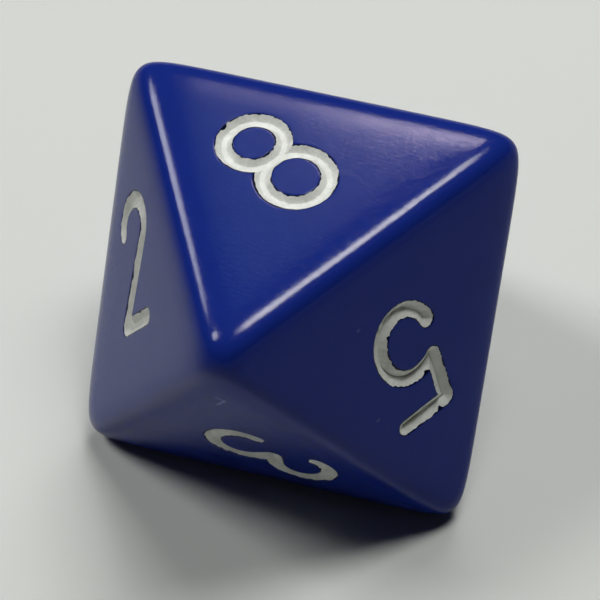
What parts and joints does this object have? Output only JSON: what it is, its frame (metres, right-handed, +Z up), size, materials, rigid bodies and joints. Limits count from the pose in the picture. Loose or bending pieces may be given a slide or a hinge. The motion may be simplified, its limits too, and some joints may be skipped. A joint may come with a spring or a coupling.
{
  "type": "polyhedral die",
  "caption": "Octahedral die of moulded plastic with rolled edges and engraved, paint-filled numerals, rolled to pick a number in tabletop games.",
  "frame": {"origin": "middle of the bottom face, the one with the 1, which the die rests on", "axes": "+Z up, out of the face with the 8; +Y towards the corner that the even numerals share; +X to the right of the 8"},
  "size_m": [0.0176, 0.0198, 0.015],
  "materials": {
    "body_plastic": "opaque royal blue, moulded and tumble polished to a satin gloss",
    "numeral_paint": "off-white paint, matt"
  },
  "bodies": {
    "root": {"die_body": "body_plastic", "numeral_1_paint": "numeral_paint", "numeral_2_paint": "numeral_paint", "numeral_3_paint": "numeral_paint", "numeral_4_paint": "numeral_paint", "numeral_5_paint": "numeral_paint", "numeral_6_paint": "numeral_paint", "numeral_7_paint": "numeral_paint", "numeral_8_paint": "numeral_paint"}
  },
  "joints": []
}
